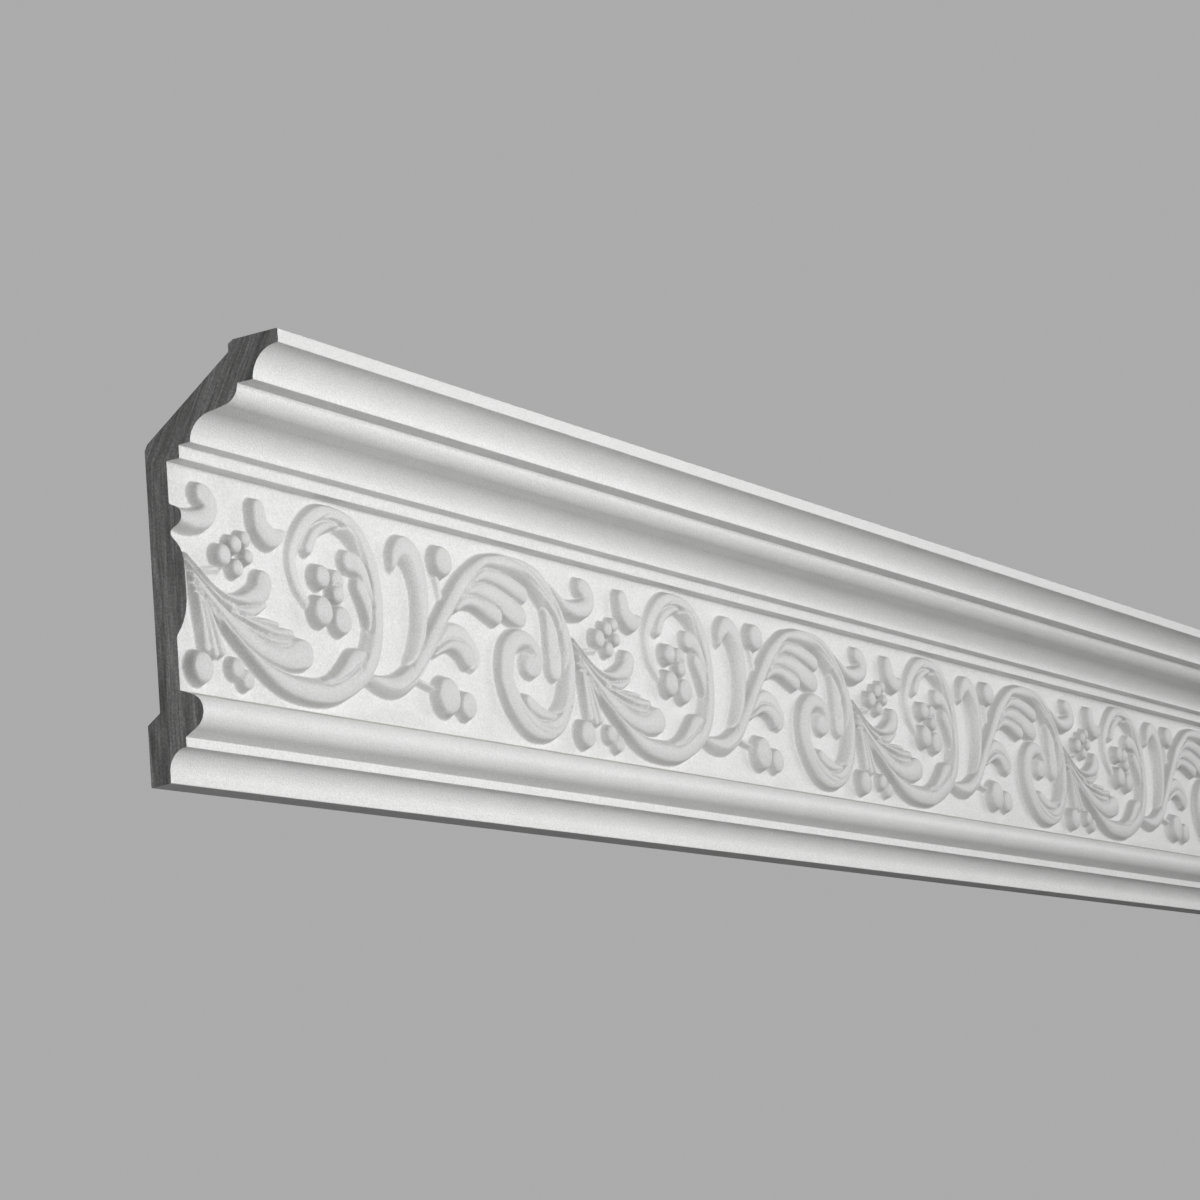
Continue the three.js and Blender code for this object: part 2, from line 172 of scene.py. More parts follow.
# The photograph's viewpoint, in metres, degrees and, for the lens, millimetres.
EYE_PLACE = (-1.30352, -0.64635, -0.16649)
EYE_HEADING = 60.0
EYE_PITCH = 11.19
EYE_ROLL = -4.92
EYE_LENS = 98.27
EYE_SENSOR = 36
EYE_CLIP_START = 0.05


def arc(out, up, radius_out, radius_up, start, end):
    """Points of an elliptic arc, angles in degrees from "out" towards "up"."""
    turns = np.radians(np.linspace(start, end, FACETS + 1))
    return [(out + radius_out * math.cos(a), up + radius_up * math.sin(a)) for a in turns]


def section_above():
    """The outline from the frieze's top edge round the cornice and the back to the lowest edge."""
    hollow_out = BAND_OUT + BAND_SOFFIT + OGEE_HOLLOW_RUN
    swell_out = hollow_out + OGEE_RUN
    cove_foot_out = swell_out + OGEE_SWELL_RADIUS + UPPER_SOFFIT
    cove_top_up = SWELL_UP + UPPER_COVE_RADIUS
    front_out = cove_foot_out + UPPER_COVE_RADIUS + FASCIA_OUT
    strip_out = front_out - CEILING_STRIP_DEPTH
    slant_out = strip_out - CEILING_STRIP_BEVEL
    slant_up = BACK_HEIGHT - CEILING_STRIP_HEIGHT
    corner_up = slant_up - SLANT_RISE * (slant_out - BACK_HOLLOW)
    return [
        (BAND_OUT, FRIEZE_TOP),
        (BAND_OUT, BAND_TOP),
        *arc(hollow_out, BAND_TOP, OGEE_HOLLOW_RUN, OGEE_HOLLOW_RISE, 180, 90),
        *arc(swell_out, SWELL_UP, OGEE_SWELL_RADIUS, OGEE_SWELL_RADIUS, -90, 0),
        *arc(cove_foot_out + UPPER_COVE_RADIUS, SWELL_UP, UPPER_COVE_RADIUS,
             UPPER_COVE_RADIUS, 180, 90),
        (front_out, cove_top_up),
        (front_out, BACK_HEIGHT),
        (strip_out, BACK_HEIGHT),
        (slant_out, BACK_HEIGHT - CEILING_STRIP_BEVEL / 2),
        (slant_out, slant_up),
        (BACK_HOLLOW + BACK_CORNER_CUT, corner_up + SLANT_RISE * BACK_CORNER_CUT),
        (BACK_HOLLOW, corner_up - BACK_CORNER_CUT),
        (BACK_HOLLOW, WALL_STRIP_HEIGHT + STRIP_BEVEL_HEIGHT),
        (0, WALL_STRIP_HEIGHT),
        (0, 0),
    ]


def section_below():
    """The outline from the lowest edge up to the frieze's foot."""
    torus_radius_out = FRIEZE_OUT + TORUS_SWELL - FILLET_OUT - TORUS_SIDE
    return [
        (LIP_OUT, UNDERSIDE_RISE),
        *arc(FILLET_OUT, LOWER_COVE_UP, LOWER_COVE_RADIUS, LOWER_COVE_RADIUS, 180, 90),
        (FILLET_OUT, TORUS_FOOT),
        *arc(FRIEZE_OUT + TORUS_SWELL - torus_radius_out, TORUS_FOOT + TORUS_HEIGHT / 2,
             torus_radius_out, TORUS_HEIGHT * TORUS_ARC_SHARE, -TORUS_ARC_END, TORUS_ARC_END),
    ]


def with_soft_arrises(points, before, after):
    """The outline with a small round at each sharp corner and a support point on either side."""
    chain = [before, *points, after]
    soft = []
    for i in range(1, len(chain) - 1):
        here = Vector(chain[i])
        back, ahead = Vector(chain[i - 1]) - here, Vector(chain[i + 1]) - here
        inside = back.angle(ahead)
        if math.degrees(inside) > BLUNT_CORNER:
            soft.append(tuple(here))
            continue
        room = min(back.length, ahead.length) * ARRIS_ROOM
        trim = min(ARRIS_ROUND / math.tan(inside / 2), room)
        start, end = here + back.normalized() * trim, here + ahead.normalized() * trim
        if back.length > 2 * (trim + ARRIS_SUPPORT):
            soft.append(tuple(start + back.normalized() * ARRIS_SUPPORT))
        for step in range(ARRIS_FACETS + 1):
            t = step / ARRIS_FACETS
            soft.append(tuple(start * (1 - t) ** 2 + here * 2 * t * (1 - t) + end * t ** 2))
        if ahead.length > 2 * (trim + ARRIS_SUPPORT):
            soft.append(tuple(end + ahead.normalized() * ARRIS_SUPPORT))
    return soft


# The drawing of one repeat, from root to tip. Each point is [along, up, half width, rise],
# with the runs of the left and the right side after them where they aren't SIDE_RUN.
STROKES = {
    "bud_leaf": [[-30, 69.8, 1.2, 1.5], [-22, 68.2, 1.8, 2.5, 3, 3], [-11, 63.6, 2.6, 3.5, 3, 3],
                 [-2, 57.9, 3.8, 4.4, 3, 3], [3, 56.4, 4.3, 5, 2.6, 2.6], [9, 56.6, 4.4, 5, 1.6, 1.8],
                 [14.6, 58.3, 4.5, 5, 1.2, 1.6], [17, 62.2, 4.6, 4.9], [15.6, 65.3, 4.6, 4.7],
                 [13.4, 66.3, 4.4, 4.4]],
    "comma": [[61, 60.3, 1.2, 2], [56, 58, 3, 3.5], [50, 57, 4.7, 4.5], [45.2, 60, 4.8, 4.6],
              [43.9, 65.6, 4.3, 4.6]],
    "flower_stem": [[15.5, 41.5, 1.2, 1.5], [23, 42.6, 1.4, 1.8]],
    "top_leaf": [[3, 45, 1, 4], [11, 39.8, 1.1, 4], [16, 36.4, 1.3, 4], [21, 34.3, 1.5, 4],
                 [26, 33.2, 1.9, 4.2], [31, 33.2, 2.4, 4.3], [36, 34.3, 3.3, 4.5],
                 [42.3, 36.6, 4.7, 4.6], [44.6, 40.6, 4.9, 4.6]],
    "top_leaf_border": [[4, 42.6, 0.9, 3.8], [11, 37.4, 1.3, 3.8], [16, 34.3, 1.5, 3.8],
                        [21, 31.8, 1.6, 3.8], [26, 30.2, 1.9, 3.9], [31, 29.2, 2.3, 3.9],
                        [36, 29.6, 2.6, 3.9], [40, 31.2, 2.8, 3.9], [43.4, 33.6, 3.2, 3.9]],
    "upper_tongue": [[26, 30.4, 1, 3.6], [34, 27.7, 1.4, 3.8], [41, 27, 1.9, 4],
                     [46, 26.9, 2.2, 4.1], [50.2, 26.6, 2.2, 4.1]],
    "lower_tongue": [[26, 28.6, 1, 3.6], [38, 25.8, 1.6, 3.9], [50, 24.4, 2.4, 4],
                     [58.2, 24.4, 2.7, 4]],
    "lower_tongue_border": [[28, 26.2, 1.2, 3.6], [38, 23, 1.6, 3.7], [46, 21.5, 2, 3.8],
                            [53, 21.2, 2.4, 3.8], [57.4, 22.2, 2.4, 3.8]],
    "middle_leaf": [[6, 37.8, 2, 4.3], [12, 32.8, 2.8, 4.3], [20, 27.3, 3.4, 4.3],
                    [30, 22.3, 3.7, 4.3], [37, 19.2, 3.8, 4.3], [45, 16.8, 4, 4.3],
                    [54, 16.2, 4.8, 4.3], [60, 17.4, 5.6, 4.3], [65.6, 18.7, 5.9, 4.3]],
    "left_scroll": [[6, 34.4, 1.6, 4.3], [14, 29.6, 1.4, 4.4], [22, 24, 1.4, 4.4],
                    [30, 18.1, 1.7, 4.6], [35, 15.2, 2.1, 4.7], [40, 12.6, 2.8, 4.7],
                    [45, 10.4, 3.5, 4.8], [50, 8.7, 4.2, 4.8], [55, 7.5, 4.6, 4.8],
                    [60, 6.8, 4.8, 4.8], [70, 6.4, 5, 4.8], [80, 7.3, 5.1, 4.8],
                    [90, 11, 5.3, 4.8], [100, 16.8, 5.3, 4.7], [106.8, 25, 4.8, 4.6],
                    [109.6, 36, 4.8, 4.6], [109.6, 47, 5, 4.6], [106.2, 58, 5, 4.7],
                    [99, 66, 4.8, 4.8], [89, 69.4, 4.3, 4.6], [79, 68.5, 4.3, 4.2],
                    [70, 62.5, 3.8, 3.4], [64.3, 53, 3.4, 2.4], [65.5, 44, 3, 2.3],
                    [71, 37.8, 2.6, 2]],
    "inner_lobe": [[78, 8.8, 3.5, 4.5], [82, 10.2, 3.4, 4.6], [86, 12.6, 3.6, 4.7],
                   [90.9, 16.2, 4, 4.7], [95, 19.8, 4.2, 4.7], [99, 20.7, 4.2, 4.7]],
    "left_hook": [[107, 61, 1, 3.8], [99, 67, 2.2, 4.4], [88, 68, 3.1, 4.3], [77.2, 63, 3.2, 3.8],
                  [72.3, 56.2, 3, 3.5]],
    "fan_left": [[7, 36.4, 1.2, 4.2], [9.6, 26, 1.9, 4], [12.2, 14.8, 2.6, 3.6]],
    "fan_middle": [[7.6, 36, 1.2, 4.2], [12.2, 25, 1.9, 4], [16.2, 13.6, 2.6, 3.6]],
    "fan_right": [[8, 35.6, 1.2, 4.2], [14.6, 25, 1.9, 4], [20, 14.6, 2.6, 3.6]],
    "upper_vein_leaf": [[109.8, 33, 1, 3.8], [108.6, 40, 2, 4.4], [105.8, 46.5, 3.2, 4.5],
                        [102.8, 51.6, 3.9, 4.5], [99.6, 54.4, 4.3, 4.4], [95.8, 55, 4.5, 4]],
    "lower_vein_leaf": [[105.8, 24, 0.5, 1.6], [106.1, 29.5, 1.4, 3], [106, 35, 2.4, 4],
                        [105, 40.6, 3.4, 4.3], [102.7, 46.8, 4.6, 4.1]],
    "crook": [[124, 57.4, 2.4, 3.2], [126, 62, 4.2, 4.2], [131, 64.4, 5.4, 4.6],
              [136.6, 60.5, 5.7, 4.6], [139.6, 52, 4.8, 4.4], [139.6, 43, 4.2, 4.2],
              [137, 32.5, 3.6, 4], [131, 21, 3.4, 4]],
    "right_scroll": [[104, 14.4, 2.4, 4], [112, 13, 3.6, 4.4], [119, 13.2, 4.2, 4.7],
                     [126, 15.5, 4.6, 4.8], [134, 21, 4.5, 4.8], [150.6, 39, 4.1, 4.7],
                     [160.4, 49.6, 4.2, 4.7], [166.5, 55.3, 4.4, 4.7], [172, 59.6, 4, 4.7],
                     [182, 66, 3.2, 4.7], [190, 67.4, 3.7, 4.8], [198, 67.9, 4.2, 4.8],
                     [212, 67, 4.4, 5], [222, 62.5, 5.4, 5], [231, 54, 5.6, 5, 3, 1.4],
                     [236.6, 45, 5.2, 5, 3, 1.4], [238.6, 34, 5, 5, 3, 1.4],
                     [237, 24, 4.8, 5, 3, 1.4], [233, 15.6, 5, 4.8, 2, 1.4],
                     [226, 9.6, 5.3, 4.7], [217, 7.3, 5.4, 4.6], [207, 8.9, 5.7, 4.6],
                     [198.4, 15.4, 5.6, 4.5], [194, 25, 5.4, 4.4], [196, 34, 5.3, 4.5],
                     [203, 39.4, 4.9, 4.6], [210.6, 39, 4.6, 4.7], [215.4, 35, 4.8, 4.5],
                     [213.8, 31.5, 5.6, 4.2], [211.4, 31.3, 5.7, 3.8]],
    "upper_berry_stem": [[155.6, 47.6, 1.8, 1.6], [152.8, 57, 2, 2]],
    "lower_berry_stem": [[133, 17.6, 1.6, 2.5], [147, 15, 1.6, 2.5]],
    "outer_pad": [[148, 32, 1.6, 2.5], [157, 36.2, 4, 3], [165.6, 35.9, 5.4, 3.3],
                  [171.4, 30.2, 6.3, 3.3]],
    "inner_pad": [[147, 28, 1.6, 3], [156, 32.3, 2.6, 4], [163.6, 31.6, 3.9, 4.2],
                  [168, 28.8, 4.6, 4.2]],
    "low_tongue": [[162, 47.5, 3, 4.2], [168, 50, 3, 4.3], [175, 50.2, 3, 4.4],
                   [182, 48.9, 3.7, 4.4], [189.4, 47.1, 4.2, 4.4]],
    "mid_tongue": [[166, 52.5, 2.6, 4.2], [174, 55, 3, 4.3], [182, 55.3, 4, 4.4],
                   [190, 54, 4.7, 4.4], [198, 51.2, 5.5, 4.4], [205.4, 49, 5.4, 4.5]],
    "high_tongue": [[168, 55, 2.4, 4.3], [175, 59.2, 2.8, 4.4], [182, 61.6, 3.2, 4.5],
                    [190, 61.5, 3.7, 4.5], [197, 60.6, 4.1, 4.6], [203, 59.2, 4.4, 4.6],
                    [208.3, 57.6, 4.3, 4.6]],
    "hanging_leaf": [[222, 64, 3, 4.6], [226.4, 58.4, 4, 4.2], [229.4, 50, 5.1, 3.8],
                     [229.8, 40, 5.3, 3.6], [229.4, 31.2, 5, 3.5]],
    "right_hook": [[236, 16, 2, 4.8], [226, 11.8, 3.2, 4.6], [216, 12.4, 4, 4.4],
                   [208, 16.4, 3.7, 3.8]],
}

# Berries and petals: [along, up, radius, rise].
BERRIES = [
    [22.8, 47, 4.4, 5], [29.4, 51.4, 3.8, 5], [35.3, 54, 3.4, 4.6], [36.6, 48.2, 3.2, 4.6],
    [30.2, 43.6, 3.7, 4.6],
    [7.9, 7.9, 6.2, 5.4], [27.3, 9.7, 4.2, 4.3], [32.6, 6.4, 4.1, 4.3],
    [77.7, 47, 4.9, 5.4], [87.6, 47, 4.4, 4.2], [86.7, 41.9, 4.1, 5], [77.2, 34.9, 6.1, 5.4],
    [88.7, 33, 5.9, 5],
    [154.5, 62.9, 6.5, 5.4], [152.3, 12.9, 8, 5.4], [165.1, 10.8, 5.9, 4.8],
]

# Fine lines pressed into the leaves' backs: the points [along, up, depth], after the width.
CREASES = [
    (0.5, [[98.9, 24, 0.3], [98.9, 19.5, 0.9], [97.5, 15.5, 0.2]]),
    (0.45, [[92, 67.5, 0.2], [98, 65.3, 0.6], [103, 58.3, 0.7], [106.4, 50.3, 0.5],
            [108, 43, 0.1]]),
    (0.4, [[92, 12.5, 0.2], [98, 17.5, 0.5], [102, 22.5, 0.4], [104.5, 28, 0.2]]),
    (0.5, [[122, 12, 0.2], [131, 16.6, 0.8], [137, 22, 0.9], [143, 28, 0.9], [150, 36.6, 0.8],
           [156, 42.6, 0.2]]),
    (0.45, [[199, 70, 0.2], [205, 69.4, 0.6], [215, 66, 0.8], [225, 60, 0.8], [231, 54, 0.7],
            [235, 47, 0.2]]),
    (0.45, [[206, 66.8, 0.2], [216, 63.4, 0.6], [224, 58.6, 0.6], [228, 54.6, 0.2]]),
    (0.5, [[227, 60.5, 0.2], [230.6, 55, 0.8], [232.8, 50, 0.8], [233, 45, 0.8], [232, 40, 0.8],
           [230, 36.2, 0.8], [227.4, 35, 0.6], [225.4, 36.6, 0.2]]),
    (0.5, [[228, 62, 0.3], [233, 57, 0.9], [236.6, 50, 0.9], [237.6, 40, 0.9], [236.4, 34, 0.9],
           [234.2, 29.6, 0.5]]),
    (0.55, [[204.4, 19, 0.2], [206, 14, 0.9], [210, 10.5, 0.9], [215, 8, 0.9], [222, 7, 0.6],
            [229, 9, 0.2]]),
    (0.5, [[198, 15, 0.2], [203, 10.5, 0.7], [209, 7, 0.7], [216, 5.3, 0.4], [222, 5.4, 0.1]]),
    (0.5, [[199, 32, 0.2], [205, 35, 0.9], [210, 37.5, 0.3]]),
    (0.45, [[67, 44, 0.2], [65.4, 50, 0.4], [68.5, 57.4, 0.6], [74, 63.5, 0.7], [79, 67, 0.7],
            [85, 69.5, 0.6], [92, 69.8, 0.2]]),
]

SIDE_RUN = 1.3            # over which a leaf's side rounds up to its back
SIDE_STEEPNESS = 0.72     # below 1 the foot of a side is steeper than a quarter round
BACK_ROUND = 0.32         # how far a leaf's shoulders lie below its back
BERRY_SIDE_SHARE = 0.25   # of a berry's radius, its side's run
BERRY_BACK_ROUND = 0.32
VALUES_A_POINT = 6        # along, up, half width, rise and the two sides' runs
LEAST_HALF_WIDTH = 0.1
MARGIN = 1                # looked at beyond a leaf's outline
CREASE_MARGIN = 3         # looked at beside a crease, in its widths
CREASE_FLOOR = 0.5        # of a leaf's height, what a crease leaves at least
EASED_SHARE = 0.25        # what each neighbour gives to a place's height in the end

# Where two leaves meet side by side, a seam is pressed along the line between them.
SEAM_DEPTH = 1.3
SEAM_REACH = 0.7          # how far their heights may differ there
SEAM_FOOT = 0.8           # both stand at least so high
SEAM_FLOOR = 0.35         # of their height, what is left at least
BACK_SIDE = 0.985         # a side has risen to the leaf's back from here on

# The hollow side of a scroll, left or right of its travel, is rounder than the other one.
HOLLOW_SIDES = {"left_scroll": "left", "crook": "right", "right_scroll": "right"}
HOLLOW_SIDE_RUN = 3.6
HOLLOW_SIDE_STEEPNESS = 0.46


def curve(points):
    """Close points on the smooth line through the drawn ones, with their widths and rises."""
    drawn = np.array([[*point, SIDE_RUN, SIDE_RUN][:VALUES_A_POINT] for point in points], float)
    if len(drawn) == 1:
        return drawn
    ends = np.vstack([2 * drawn[0] - drawn[1], drawn, 2 * drawn[-1] - drawn[-2]])
    line = []
    for i in range(len(drawn) - 1):
        a, b, c, d = ends[i:i + 4]
        count = max(2, int(np.hypot(*(c - b)[:2]) / STATION))
        t = np.linspace(0, 1, count, endpoint=False)[:, None]
        line.append(0.5 * (2 * b + (c - a) * t + (2 * a - 5 * b + 4 * c - d) * t ** 2
                           + (3 * b - a - 3 * c + d) * t ** 3))
    line.append(drawn[-1:])
    return np.vstack(line)


class Relief:
    """Heights over one repeat of the frieze's ground, which closes on itself along the run."""

    def __init__(self):
        self.columns = round(DRAWN_REPEAT / CELL)
        self.rows = round(FRIEZE_HEIGHT / CELL)
        self.along = np.arange(self.columns) * (DRAWN_REPEAT / self.columns)
        self.up = np.linspace(0, FRIEZE_HEIGHT, self.rows + 1)
        self.height = np.zeros((self.rows + 1, self.columns))
        self.side = np.ones(self.height.shape)

    def window(self, line, reach):
        """Rows, columns and their places for the stretch of ground around a line."""
        cell_along, cell_up = DRAWN_REPEAT / self.columns, FRIEZE_HEIGHT / self.rows
        first = math.floor((line[:, 0].min() - reach) / cell_along)
        last = math.ceil((line[:, 0].max() + reach) / cell_along)
        low = max(0, math.floor((line[:, 1].min() - reach) / cell_up))
        high = min(self.rows, math.ceil((line[:, 1].max() + reach) / cell_up))
        columns, rows = np.arange(first, last + 1), np.arange(low, high + 1)
        places = np.meshgrid(columns * cell_along, rows * cell_up)
        return np.ix_(rows, columns % self.columns), places

    def nearest(self, line, places):
        """For each place: which point of the line covers it best, and how far off that is."""
        width = line[:, 2]
        best = np.full(places[0].shape, np.inf)
        which = np.zeros(places[0].shape, int)
        for i, (along, up) in enumerate(line[:, :2]):
            off = np.hypot(places[0] - along, places[1] - up) - width[i]
            closer = off < best
            best[closer] = off[closer]
            which[closer] = i
        return which, best

    def left_share(self, line, which, places):
        """1 on the left of a stroke's travel, 0 on its right, and between them at its tip."""
        if len(line) == 1:
            return np.full(which.shape, 0.5)
        ahead = np.gradient(line[:, :2], axis=0)
        ahead /= np.hypot(*ahead.T)[:, None]
        to_left = ((places[1] - line[which, 1]) * ahead[which, 0]
                   - (places[0] - line[which, 0]) * ahead[which, 1])
        return np.clip(0.5 + to_left / line[which, 2], 0, 1)

    def add(self, points, hollow_side=None, back_round=BACK_ROUND):
        """Raises a rounded leaf, stem or berry, where it stands above what is there."""
        line = curve(points)
        line[:, 2] = np.maximum(line[:, 2], LEAST_HALF_WIDTH)
        cells, places = self.window(line, line[:, 2].max() + MARGIN)
        which, off = self.nearest(line, places)
        width, rise = line[which, 2], line[which, 3]
        left = self.left_share(line, which, places)
        run = line[which, 4] * left + line[which, 5] * (1 - left)
        steepness = np.full(run.shape, SIDE_STEEPNESS)
        if hollow_side:
            hollow = left if hollow_side == "left" else 1 - left
            run = HOLLOW_SIDE_RUN * hollow + run * (1 - hollow)
            steepness = HOLLOW_SIDE_STEEPNESS * hollow + SIDE_STEEPNESS * (1 - hollow)
        side = np.sin(np.pi / 2 * np.clip(-off / np.minimum(run, width), 0, 1)) ** steepness
        across = np.clip(1 + off / width, 0, 1)
        shape = rise * side * (1 - back_round * across ** 2)
        here, here_side = self.height[cells], self.side[cells]
        meet = np.exp(-((shape - here) / SEAM_REACH) ** 2)
        meet[(np.minimum(shape, here) < SEAM_FOOT) | (np.minimum(side, here_side) > BACK_SIDE)] = 0
        top = np.maximum(here, shape)
        self.height[cells] = np.maximum(top - SEAM_DEPTH * meet, SEAM_FLOOR * top)
        self.side[cells] = np.where(shape > here, side, here_side)

    def crease(self, width, points):
        """Presses a fine line into the leaves, and nothing into the ground."""
        line = curve([[along, up, 0, depth] for along, up, depth in points])
        cells, places = self.window(line, CREASE_MARGIN * width)
        which, off = self.nearest(line, places)
        depth = line[which, 3] * np.exp(-(off / width) ** 2)
        here = self.height[cells]
        self.height[cells] = np.maximum(here - depth, CREASE_FLOOR * here)

    def soften(self):
        """A cast's edges are never quite crisp: each height is eased towards its neighbours."""
        for axis in (0, 1):
            low = self.height[:1] if axis == 0 else self.height[:, -1:]
            high = self.height[-1:] if axis == 0 else self.height[:, :1]
            wide = np.concatenate([low, self.height, high], axis)
            before = wide[:-2] if axis == 0 else wide[:, :-2]
            after = wide[2:] if axis == 0 else wide[:, 2:]
            own_share = 1 - 2 * EASED_SHARE
            self.height = own_share * self.height + EASED_SHARE * (before + after)


def carve():
    """The whole drawing of one repeat."""
    relief = Relief()
    for name, points in STROKES.items():
        relief.add(points, HOLLOW_SIDES.get(name))
    for along, up, radius, rise in BERRIES:
        run = radius * BERRY_SIDE_SHARE
        relief.add([[along, up, radius, rise, run, run]], back_round=BERRY_BACK_ROUND)
    for width, points in CREASES:
        relief.crease(width, points)
    relief.soften()
    return relief


def new_object(name, vertices, faces):
    """A mesh object in the scene."""
    mesh = bpy.data.meshes.new(name)
    mesh.from_pydata(vertices, [], faces)
    mesh.update()
    thing = bpy.data.objects.new(name, mesh)
    bpy.context.scene.collection.objects.link(thing)
    return thing


def apply_modifiers(thing):
    """The object's mesh becomes what its modifiers make of it."""
    bpy.context.view_layer.update()
    graph = bpy.context.evaluated_depsgraph_get()
    done = bpy.data.meshes.new_from_object(thing.evaluated_get(graph))
    old = thing.data
    thing.modifiers.clear()
    thing.data = done
    bpy.data.meshes.remove(old)


def carved_sheet(relief):
    """The frieze's ground with its carving as (along, up, height) points and triangles."""
    repeats = math.ceil(LENGTH / DRAWN_REPEAT)
    height = np.tile(relief.height, repeats)
    along = np.concatenate([relief.along + i * DRAWN_REPEAT for i in range(repeats)])
    height = np.hstack([height, height[:, :1]])
    along = np.append(along, repeats * DRAWN_REPEAT)
    keep = along <= LENGTH + CELL / 2
    height, along = height[:, keep], along[keep]
    along[-1] = LENGTH
    rows, columns = height.shape
    a, u = np.meshgrid(along, relief.up)
    points = np.stack([a.ravel(), u.ravel(), height.ravel()], 1)
    corner = (np.arange(rows - 1)[:, None] * columns + np.arange(columns - 1)).ravel()
    quads = np.stack([corner, corner + 1, corner + columns + 1, corner + columns], 1)
    sheet = new_object("sheet", [], [])
    mesh = sheet.data
    mesh.vertices.add(len(points))
    mesh.vertices.foreach_set("co", points.astype(np.float32).ravel())
    mesh.loops.add(quads.size)
    mesh.loops.foreach_set("vertex_index", quads.ravel())
    mesh.polygons.add(len(quads))
    mesh.polygons.foreach_set("loop_start", np.arange(0, quads.size, 4))
    mesh.update(calc_edges=True)
    thin = sheet.modifiers.new("thin out the flats", "DECIMATE")
    thin.ratio = TRIANGLES / (2 * len(quads))
    thin.use_collapse_triangulate = True
    apply_modifiers(sheet)
    return sheet


def rim_of(mesh):
    """The sheet's outer edge as four chains of vertices: foot, right end, top and left end."""
    count = {}
    for polygon in mesh.polygons:
        for key in polygon.edge_keys:
            count[key] = count.get(key, 0) + 1
    beside = {}
    for (a, b), uses in count.items():
        if uses == 1:
            beside.setdefault(a, []).append(b)
            beside.setdefault(b, []).append(a)
    place = {v: mesh.vertices[v].co for v in beside}

    def corner(along, up):
        return min(beside, key=lambda v: (place[v].x - along) ** 2 + (place[v].y - up) ** 2)

    corners = [corner(0, 0), corner(LENGTH, 0), corner(LENGTH, FRIEZE_HEIGHT),
               corner(0, FRIEZE_HEIGHT)]
    steps = [Vector(step) for step in ((1, 0, 0), (0, 1, 0), (-1, 0, 0), (0, -1, 0))]
    chains = []
    for k, start in enumerate(corners):
        goal, step = corners[(k + 1) % 4], steps[k]
        chain, last = [start], None
        while chain[-1] != goal:
            here = chain[-1]
            choices = [v for v in beside[here] if v != last]
            if last is None:
                choices.sort(key=lambda v: -(place[v] - place[here]).normalized().dot(step))
            last = here
            chain.append(choices[0])
        chains.append(chain)
    return chains


def in_place(along, out, up):
    """A point of the moulding in the scene's frame."""
    return ((along - LENGTH / 2) * MM, -out * MM, (up - WALL_STRIP_HEIGHT / 2) * MM)


def closed_piece(sheet):
    """Sheet, section and square ends as one closed piece."""
    mesh = sheet.data
    foot, right, top, left = rim_of(mesh)
    flat = np.zeros(len(mesh.vertices) * 3, np.float32)
    mesh.vertices.foreach_get("co", flat)
    spots = flat.reshape(-1, 3).astype(float)
    spots[foot, 1] = 0
    spots[top, 1] = FRIEZE_HEIGHT
    spots[left, 0] = 0
    spots[right, 0] = LENGTH
    spots[foot, 2] = 0
    spots[top, 2] = 0
    vertices = [in_place(a, FRIEZE_OUT + h, FRIEZE_UP + u) for a, u, h in spots]
    faces = [tuple(p.vertices) for p in mesh.polygons]
    frieze_foot, frieze_top = (FRIEZE_OUT, FRIEZE_UP), (FRIEZE_OUT, FRIEZE_TOP)
    outline = with_soft_arrises(section_above() + section_below(), frieze_top, frieze_foot)
    first = len(vertices)
    for out, up in outline:
        vertices.append(in_place(0, out, up))
        vertices.append(in_place(LENGTH, out, up))
    lefts = [first + 2 * i for i in range(len(outline))]
    rights = [i + 1 for i in lefts]
    for i in range(len(outline) - 1):
        faces.append((lefts[i], rights[i], rights[i + 1], lefts[i + 1]))
    faces.append((*top, lefts[0], rights[0]))
    faces.append((*foot, rights[-1], lefts[-1]))
    ends = [len(faces), len(faces) + 1]
    faces.append((*left[1:-1], foot[0], *reversed(lefts), top[-1]))
    faces.append((*right, *rights))
    bpy.data.objects.remove(sheet)
    piece = new_object("moulding", vertices, faces)
    mark_finishes(piece, ends)
    paint_relief_shade(piece, spots[:, 2])
    return piece


def mark_finishes(piece, ends):
    """The cut ends and the sides against wall and ceiling get their own material slots."""
    for end in ends:
        piece.data.polygons[end].material_index = CUT_END
    glued_up = (BACK_HEIGHT - WALL_STRIP_HEIGHT / 2 - ARRIS_ROUND) * MM
    for polygon in piece.data.polygons:
        on_ceiling = polygon.normal.z > CEILING_FACING and polygon.center.z > glued_up
        if polygon.normal.y > WALL_FACING or on_ceiling:
            polygon.material_index = GLUED_SIDE


def paint_relief_shade(piece, heights):
    """Each vertex of the frieze, which come first, gets painted shade from its height and slope:
    darker on the leaves' backs and steep sides.
    """
    normals = np.zeros(len(piece.data.vertices) * 3, np.float32)
    piece.data.vertices.foreach_get("normal", normals)
    steepness = 1 - np.abs(normals[1::3][:len(heights)])
    grey = np.zeros(len(piece.data.vertices), np.float32)
    # painted shade: darker with height on the leaves' backs and with slope on their sides
    grey[:len(heights)] = (BACK_PAINTED_SHADE * np.clip(heights / CARVING_RISE, 0, 1)
                           + SIDE_PAINTED_SHADE * steepness)
    piece.data.attributes.new("grey", "FLOAT", "POINT").data.foreach_set("value", grey)


def dress_normals(piece):
    """Smooth faces with crisp arrises, in which the large flat faces lead."""
    for polygon in piece.data.polygons:
        polygon.use_smooth = True
    piece.data.set_sharp_from_angle(angle=math.radians(SHARP_EDGE))
    weigh = piece.modifiers.new("flat faces lead", "WEIGHTED_NORMAL")
    weigh.keep_sharp = True


